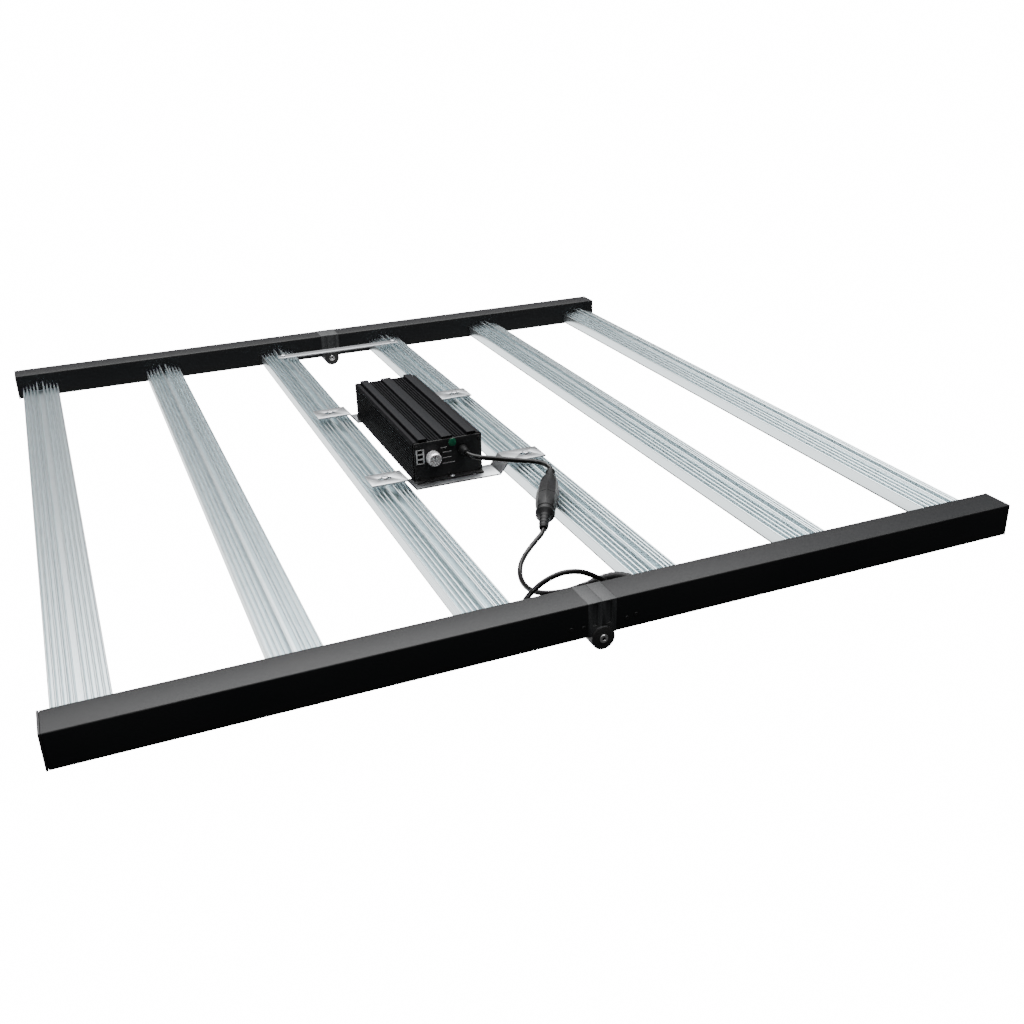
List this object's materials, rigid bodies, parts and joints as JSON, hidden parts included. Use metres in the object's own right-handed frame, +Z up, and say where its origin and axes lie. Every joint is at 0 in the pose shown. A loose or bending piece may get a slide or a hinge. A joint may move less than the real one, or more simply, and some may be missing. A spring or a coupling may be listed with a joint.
{
  "type": "led grow light",
  "caption": "Folding LED grow light: finned aluminium light bars between hinged square-tube rails, with a driver box, dimmer knob and leads between the middle bars.",
  "frame": {"origin": "middle of the light, on the fold line, in the plane of the rails' top faces", "axes": "+X along the rails to the right half, +Y along the bars from the front rail (the side that the driver's knob faces) to the back rail, +Z up, away from the LED boards"},
  "size_m": [1.1, 1.1694, 0.0915],
  "materials": {
    "rail": "satin black powder coat on extruded tube",
    "cap": "black moulded plastic",
    "bar": "clear anodised extrusion",
    "board": "white solder mask",
    "hinge": "dark grey cast metal, bead blasted",
    "steel": "bright zinc",
    "sheet": "bent aluminium sheet",
    "driver": "black anodised extrusion",
    "plate": "black powder coat",
    "circuit": "green solder mask",
    "pot": "plain steel",
    "knob": "turned and polished",
    "port": "light grey moulding",
    "lens": "green tinted lens",
    "inlet": "black moulding",
    "cord": "glossy black jacket"
  },
  "bodies": {
    "left_half": {"rail_front_left": "rail", "rail_back_left": "rail", "end_cap_front_left": "cap", "end_cap_back_left": "cap", "heat_sink_1": "bar", "heat_sink_2": "bar", "heat_sink_3": "bar", "led_board_1": "board", "led_board_2": "board", "led_board_3": "board", "hinge_leaf_front_left": "hinge", "hinge_leaf_back_left": "hinge", "hinge_pin_front": "steel", "hinge_pin_back": "steel", "driver_bracket_front": "sheet", "driver_bracket_back": "sheet", "fold_strap": "sheet", "front_bracket_screw_left": "steel", "front_bracket_screw_right": "steel", "back_bracket_screw_left": "steel", "back_bracket_screw_right": "steel", "strap_screw_left": "steel", "strap_screw_right": "steel", "driver_case": "driver", "driver_end_plate_front": "plate", "driver_end_plate_back": "plate", "driver_foot_screw_front": "steel", "driver_foot_screw_back": "steel", "driver_circuit": "circuit", "dimmer_potentiometer": "pot", "control_ports": "port", "status_lens": "lens", "driver_lead_gland": "cord", "mains_inlet": "inlet", "driver_lead": "cord", "lead_socket": "cord", "lead_plug": "cord", "harness_lead": "cord", "jumper_lead": "cord", "jumper_grommet_left": "cord"},
    "right_half": {"rail_front_right": "rail", "rail_back_right": "rail", "end_cap_front_right": "cap", "end_cap_back_right": "cap", "heat_sink_4": "bar", "heat_sink_5": "bar", "heat_sink_6": "bar", "led_board_4": "board", "led_board_5": "board", "led_board_6": "board", "hinge_leaf_front_right": "hinge", "hinge_leaf_back_right": "hinge", "harness_boot": "cord", "jumper_grommet_right": "cord"},
    "dimmer": {"dimmer_knob": "knob", "dimmer_shaft": "steel"}
  },
  "joints": [
    {"name": "fold_hinge", "type": "hinge", "parent": "left_half", "child": "right_half", "pos_m": [0, 0, -0.043], "axis": [0, 1, 0], "range_deg": [0, 180]},
    {"name": "dimmer_turn", "type": "hinge", "parent": "left_half", "child": "dimmer", "pos_m": [-0.0339, -0.143, 0.0083], "axis": [0, 1, 0], "range_deg": [0, 270]}
  ]
}
